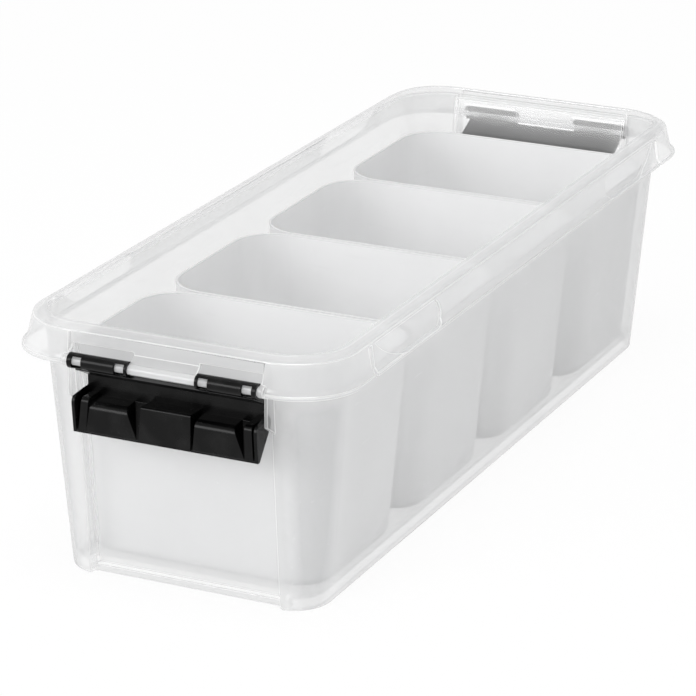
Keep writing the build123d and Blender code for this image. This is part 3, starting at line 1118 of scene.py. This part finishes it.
@dataclass
class LatchClip:
    """Black latch clip hanging open on its rod: hooks, bent plate, sloping grip and pads.

    Y points in to the box and Z up, with the rod through the origin.
    """

    rod_out: float = 247.6
    rod_height: float = 122.8
    wall: float = 1.9
    plate_in: float = 12.52
    back_in: float = 14.8
    web_top: Point = (0.85, -3.2)
    plate_top: float = -9.6
    crease: float = -16.6
    plate_half_width: float = 49.2
    grip_half_width: float = 51.3
    end_wall: float = 1.7
    back_down: float = -20.8
    shoulder: Point = (-1.4, -18.6)
    shoulder_round: float = 4.5
    corner_drop: float = 2.6
    bottom_in: float = 0.6
    bottom: float = -38.0
    tip: float = 1.0
    rib_gap: float = 1.0
    rib_foot_width: float = 4.4
    rib_top_width: float = 3.7
    rib_lean: float = 3.1
    rib_top: Point = (1.6, -19.6)
    rib_round: float = 3.0
    pad_gap: float = 0.8
    outer_pad_leans: Point = (0.4, 7.6)
    outer_pad_top: Point = (2.6, -22.3)
    outer_pad_rise: float = 0.9
    outer_pad_round: float = 4.5
    middle_pad_lean: float = 1.4
    middle_pad_top: Point = (1.9, -19.4)
    middle_pad_rise: float = -0.6
    middle_pad_proud: float = 0.7
    middle_pad_round: float = 1.2
    edge_round: float = 0.32
    edge_angle: float = 18.0
    embed: float = 0.05
    hook: Hook = field(default_factory=Hook)

    def bent_plate(self) -> list[Point]:
        """Leads the sheet from under the rod in to the plate and down to the crease.

        Returns:
            Outline of the sheet in Y and Z.
        """
        run = self.plate_in - self.web_top[0]
        drop_down = self.web_top[1] - self.plate_top
        reach = math.hypot(run, drop_down)
        across = (-self.wall * drop_down / reach, -self.wall * run / reach)
        back = self.plate_in + self.wall
        low = self.crease - self.embed
        return [self.web_top, (back, self.plate_top), (back, low), (self.plate_in, low),
                (self.plate_in, self.plate_top + across[1]),
                (self.web_top[0] + across[0], self.web_top[1] + across[1])]

    def grip_back(self) -> list[Point]:
        """Follows the grip's back from the crease down to its lower edge.

        Returns:
            Outline of the back in Y and Z.
        """
        return [(self.plate_in, self.crease),
                (self.plate_in + self.wall, self.crease + self.wall / 3),
                (self.back_in, self.back_down),
                (self.back_in - self.wall / 8, self.back_down - self.wall),
                (self.bottom_in + self.wall, self.bottom), (self.bottom_in, self.bottom)]

    def sheet_parts(self) -> bmesh.types.BMesh:
        """Makes the plate, the sloping grip and its two end walls.

        Returns:
            The parts in one mesh.
        """
        mesh = bmesh.new()
        front = [(self.bottom_in, self.bottom + self.tip),
                 (self.back_in - self.wall, self.back_down - self.wall / 2),
                 (self.back_in - self.wall, self.back_down)]
        inner = self.grip_half_width - self.end_wall
        reach = inner + self.embed
        add_bar(mesh, self.grip_back() + front, -reach, reach)
        end = self.grip_back() + [self.shoulder]
        end = round_corner(end, len(end) - 1, self.shoulder_round)
        add_bar(mesh, end, -self.grip_half_width, -inner)
        add_bar(mesh, end, inner, self.grip_half_width)
        for side in (-1, 1):
            self.cut_corner(mesh, side)
        add_bar(mesh, self.bent_plate(), -self.plate_half_width, self.plate_half_width)
        return mesh

    def cut_corner(self, mesh: bmesh.types.BMesh, side: int) -> None:
        """Slants one of the grip's upper corners, out from the end of the crease.

        Args:
            mesh: Mesh of the grip.
            side: -1 for the left corner or 1 for the right one.
        """
        corner = Vector((side * self.plate_half_width, 0.0, self.crease)) * MM
        run = Vector((side * (self.grip_half_width - self.plate_half_width), 0.0,
                      -self.corner_drop))
        out = Vector((-side * run.z, 0.0, side * run.x)).normalized()
        cut = bmesh.ops.bisect_plane(mesh, geom=mesh.verts[:] + mesh.edges[:] + mesh.faces[:],
                                     dist=SAME_POINT, plane_co=corner, plane_no=out,
                                     clear_outer=True)
        rims = [edge for edge in cut["geom_cut"] if isinstance(edge, bmesh.types.BMEdge)]
        bmesh.ops.holes_fill(mesh, edges=rims)

    def block(self, proud: float, rise: float, top: Point, edge: float) -> bpy.types.Object:
        """Helper block from -1 to 1 in X with the side profile of a pad or rib.

        Args:
            proud: How far its foot stands out from the grip's lower edge.
            rise: How much higher its top meets the back than the front.
            top: Place of its top edge in Y and Z.
            edge: Radius of that edge.

        Returns:
            The block.
        """
        low = self.bottom + self.wall / 4
        outline = [(self.bottom_in - proud, low), top,
                   (self.back_in - self.wall / 2, top[1] + rise),
                   (self.bottom_in + self.wall / 2, low)]
        return new_bar("grip block", round_corner(outline, 1, edge), -1.0 / MM, 1.0 / MM)

    def rows(self) -> list[tuple[bpy.types.Object, dict[str, float | int]]]:
        """Plans the rows of ribs, outer pads and the middle pad.

        Returns:
            Helper block and sizes of each row.
        """
        rib_foot = self.grip_half_width - self.end_wall - self.rib_gap
        pads_half = rib_foot - self.rib_foot_width
        pad_half = (pads_half - self.pad_gap) / 3
        rib_middle = rib_foot - self.rib_foot_width / 2
        pad_middle = pads_half - pad_half
        inner_lean = self.rib_lean + self.rib_top_width - self.rib_foot_width
        return [
            (self.block(0.0, 0.0, self.rib_top, self.rib_round), {
                "First Middle": -rib_middle, "Spacing": 2 * rib_middle, "Count": 2,
                "Foot Half Width": self.rib_foot_width / 2, "Lean Height": 0.0,
                "Left Lean": -inner_lean, "Right Lean": self.rib_lean, "Mirrored": 1}),
            (self.block(0.0, self.outer_pad_rise, self.outer_pad_top,
                        self.outer_pad_round), {
                "First Middle": -pad_middle, "Spacing": 2 * pad_middle, "Count": 2,
                "Foot Half Width": pad_half, "Lean Height": self.outer_pad_top[1],
                "Left Lean": self.outer_pad_leans[0], "Right Lean": self.outer_pad_leans[1],
                "Mirrored": 0}),
            (self.block(self.middle_pad_proud, self.middle_pad_rise, self.middle_pad_top,
                        self.middle_pad_round), {
                "First Middle": 0.0, "Spacing": 0.0, "Count": 1, "Foot Half Width": pad_half,
                "Lean Height": 0.0, "Left Lean": self.middle_pad_lean,
                "Right Lean": self.middle_pad_lean, "Mirrored": 0})]

    def build(self, end: ClipEnd, machine: NodeMachine,
              finish: bpy.types.Material) -> bpy.types.Object:
        """Builds the clip on one end of the box.

        Args:
            end: End of the box that the clip hangs on.
            machine: Tree that repeats the pads and ribs.
            finish: Material of the clip.

        Returns:
            The clip.
        """
        parts = [new_object("clip sheets", self.sheet_parts())]
        parts += [self.hook.build(side) for side in (-1, 1)]
        for helper, sizes in self.rows():
            parts.append(machine.run(helper, finish, {"Foot Height": self.bottom, **sizes}))
        whole = bmesh.new()
        for part in parts:
            face_outwards(part)
            whole.from_mesh(part.data)
            drop(part)
        clip = new_object(f"{end.node}_shell", whole)
        soften(clip, self.edge_round, self.edge_angle)
        turn = Matrix.Rotation(end.value * math.pi / 2, 4, "Z")
        clip.data.transform(
            turn @ Matrix.Translation((0.0, -self.rod_out * MM, self.rod_height * MM)))
        shade_by_angle(clip)
        carry(clip, end.node, (finish,), end.node)
        return clip


@dataclass(frozen=True)
class Lamp:
    """Square soft lamp that points at the origin, with its power in watts."""

    name: str
    place: Triple
    size: float
    power: float

    def add(self) -> None:
        """Hangs the lamp in the scene."""
        data = bpy.data.lights.new(self.name, "AREA")
        data.shape = "SQUARE"
        data.size = self.size * MM
        data.energy = self.power
        lamp = bpy.data.objects.new(self.name, data)
        at = Vector(self.place) * MM
        lamp.matrix_world = (Matrix.Translation(at)
                             @ at.to_track_quat("Z", "Y").to_matrix().to_4x4())
        bpy.context.scene.collection.objects.link(lamp)


@dataclass
class Studio:
    """Camera at the photograph's view, pale floor and plain soft light.

    The focal length and the centre of the view are in the photograph's pixels.
    """

    focal: float = 3479.6
    centre: Point = (332.53, 344.62)
    azimuth: float = 25.32
    elevation: float = 19.72
    roll: float = 0.17
    distance: float = 1947.8
    aim_right: float = -23.21
    aim_up: float = 55.38
    sensor: float = 36.0
    far_end: float = 30000.0
    floor_half: float = 6000.0
    sky: float = 0.70
    low_sky: float = 0.95
    low_sky_ends: Point = (0.12, 0.42)
    lamps: tuple[Lamp, ...] = (
        Lamp("top lamp", (200.0, -500.0, 2300.0), 1200.0, 22.0),
        Lamp("front lamp", (-1050.0, -2250.0, 1050.0), 1000.0, 19.0),
    )

    def add_camera(self) -> None:
        """Sets the camera where the photograph was taken from."""
        turn = math.radians(self.azimuth)
        tilt = math.radians(self.elevation)
        back = Vector((math.sin(turn) * math.cos(tilt), -math.cos(turn) * math.cos(tilt),
                       math.sin(tilt)))
        right = Vector((math.cos(turn), math.sin(turn), 0.0))
        up = back.cross(right)
        spin = math.radians(self.roll)
        level = right * math.cos(spin) + up * math.sin(spin)
        upright = up * math.cos(spin) - right * math.sin(spin)
        aim = level * self.aim_right + upright * self.aim_up
        data = bpy.data.cameras.new("photo view")
        data.sensor_width = self.sensor
        data.lens = self.focal / PHOTO_WIDTH * self.sensor
        data.shift_x = (PHOTO_WIDTH / 2 - self.centre[0]) / PHOTO_WIDTH
        data.shift_y = (self.centre[1] - PHOTO_WIDTH / 2) / PHOTO_WIDTH
        data.clip_end = self.far_end * MM
        camera = bpy.data.objects.new("photo view", data)
        axes = Matrix((level, upright, back)).transposed().to_4x4()
        camera.matrix_world = Matrix.Translation((aim + back * self.distance) * MM) @ axes
        bpy.context.scene.collection.objects.link(camera)
        bpy.context.scene.camera = camera

    def add_floor(self) -> None:
        """Lays the pale floor."""
        half = self.floor_half * MM
        mesh = bmesh.new()
        corners = [mesh.verts.new((x * half, y * half, 0.0))
                   for x, y in ((-1, -1), (1, -1), (1, 1), (-1, 1))]
        mesh.faces.new(corners)
        floor = new_object("floor", mesh)
        floor.data.materials.append(PalePaper().make())

    def add_sky(self) -> None:
        """Sets a pale sky, brighter low down and white where it is looked at."""
        world = bpy.data.worlds.new("sky")
        world.use_nodes = True
        graph = Graph(world.node_tree)
        way = graph.node("ShaderNodeTexCoord", output="Generated")
        high = graph.band(graph.split(way)[2], self.low_sky_ends)
        dome = self.low_sky + (self.sky - self.low_sky) * high
        seen = graph.node("ShaderNodeLightPath", output="Is Camera Ray")
        sky = graph.node("ShaderNodeBackground", None,
                         {"Color": WHITE, "Strength": dome + (1.0 - dome) * seen})
        graph.node("ShaderNodeOutputWorld", None, {"Surface": sky})
        bpy.context.scene.world = world

    def build(self) -> None:
        """Sets up the camera, floor, light and plain colours."""
        self.add_camera()
        self.add_floor()
        for lamp in self.lamps:
            lamp.add()
        self.add_sky()
        bpy.context.scene.view_settings.view_transform = "Standard"


def main() -> None:
    """Builds the studio, the box, its clips and its bins."""
    logging.basicConfig(level=logging.INFO, format="%(message)s")
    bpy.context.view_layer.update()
    Studio().build()
    BoxBody().build(MilkyPlastic().make(), ClearSkin().make(), PaintedEdgeHighlight().make())
    black = MouldedBlack().make()
    blocks = leaning_blocks_machine()
    for end in ClipEnd:
        LatchClip().build(end, blocks, black)
    white = SatinWhite().make()
    walls = drafted_wall_machine()
    for number in range(1, BIN_COUNT + 1):
        LiftOutBin().build(number, walls, white)


if __name__ == "__main__":
    main()
